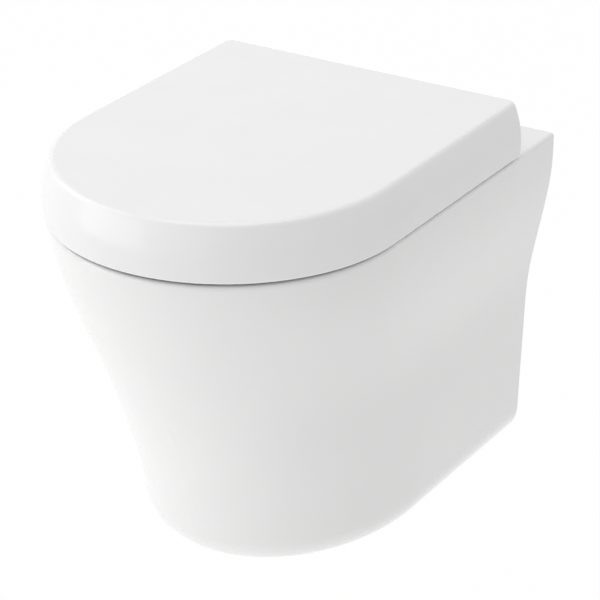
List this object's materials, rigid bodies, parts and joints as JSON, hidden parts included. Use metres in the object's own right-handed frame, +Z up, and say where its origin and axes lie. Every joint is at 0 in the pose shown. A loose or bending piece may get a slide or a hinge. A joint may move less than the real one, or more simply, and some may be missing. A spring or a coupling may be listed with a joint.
{
  "type": "wall hung toilet",
  "caption": "Wall hung toilet pan with a drawn-in shrouded skirt and a wrap-over soft-close seat and lid that lift off their hinge posts.",
  "frame": {"origin": "on the wall plane, midway between the two wall studs that carry the pan", "axes": "+Y into the wall along the studs and the pan's length, +Z up, +X to the left of a person sitting on it"},
  "size_m": [0.372, 0.536, 0.438],
  "materials": {
    "ceramic": "glossy white glaze",
    "seat_plastic": "glossy white thermoset",
    "hinge_plastic": "satin white moulding",
    "damper_plastic": "dark grey moulding",
    "buffer_rubber": "pale soft rubber",
    "plug_rubber": "black rubber",
    "bright_steel": "polished stainless steel",
    "plated_steel": "zinc plated steel",
    "nut_brass": "machined brass"
  },
  "bodies": {
    "pan": {"pan": "ceramic", "wall_bracket_left": "plated_steel", "wall_bracket_right": "plated_steel", "clamp_screws": "plated_steel", "clamp_washers": "plated_steel", "expansion_plugs": "plug_rubber", "cone_nuts": "nut_brass", "disc_gaskets": "plug_rubber", "base_discs": "bright_steel", "hinge_post_left": "bright_steel", "hinge_post_right": "bright_steel"},
    "hinge_unit": {"hinge_housing_left": "hinge_plastic", "hinge_housing_right": "hinge_plastic", "hinge_clip_left": "bright_steel", "hinge_clip_right": "bright_steel", "seat_damper_shaft": "bright_steel", "lid_damper_shaft": "bright_steel", "seat_pin": "bright_steel", "lid_pin": "bright_steel"},
    "seat": {"seat_ring": "seat_plastic", "seat_buffers": "buffer_rubber", "seat_damper": "damper_plastic"},
    "lid": {"lid": "seat_plastic", "lid_buffers": "buffer_rubber", "lid_damper": "damper_plastic"},
    "button_left": {"release_button_left": "hinge_plastic"},
    "button_right": {"release_button_right": "hinge_plastic"}
  },
  "joints": [
    {"name": "seat_lift_off", "type": "slide", "parent": "pan", "child": "hinge_unit", "axis": [0, 0, 1], "range_m": [0, 0.06], "deforming": ["hinge_clip_left", "hinge_clip_right"]},
    {"name": "seat_hinge", "type": "hinge", "parent": "hinge_unit", "child": "seat", "pos_m": [0, -0.092, 0.106], "axis": [-1, 0, 0], "range_deg": [0, 95]},
    {"name": "lid_hinge", "type": "hinge", "parent": "seat", "child": "lid", "pos_m": [0, -0.092, 0.106], "axis": [1, 0, 0], "range_deg": [-95, 0]},
    {"name": "button_left_press", "type": "slide", "parent": "hinge_unit", "child": "button_left", "axis": [0, -1, 0], "range_m": [0, 0.0025], "stiffness_N_per_m": 500, "springref_m": -0.002},
    {"name": "button_right_press", "type": "slide", "parent": "hinge_unit", "child": "button_right", "axis": [0, -1, 0], "range_m": [0, 0.0025], "stiffness_N_per_m": 500, "springref_m": -0.002}
  ]
}
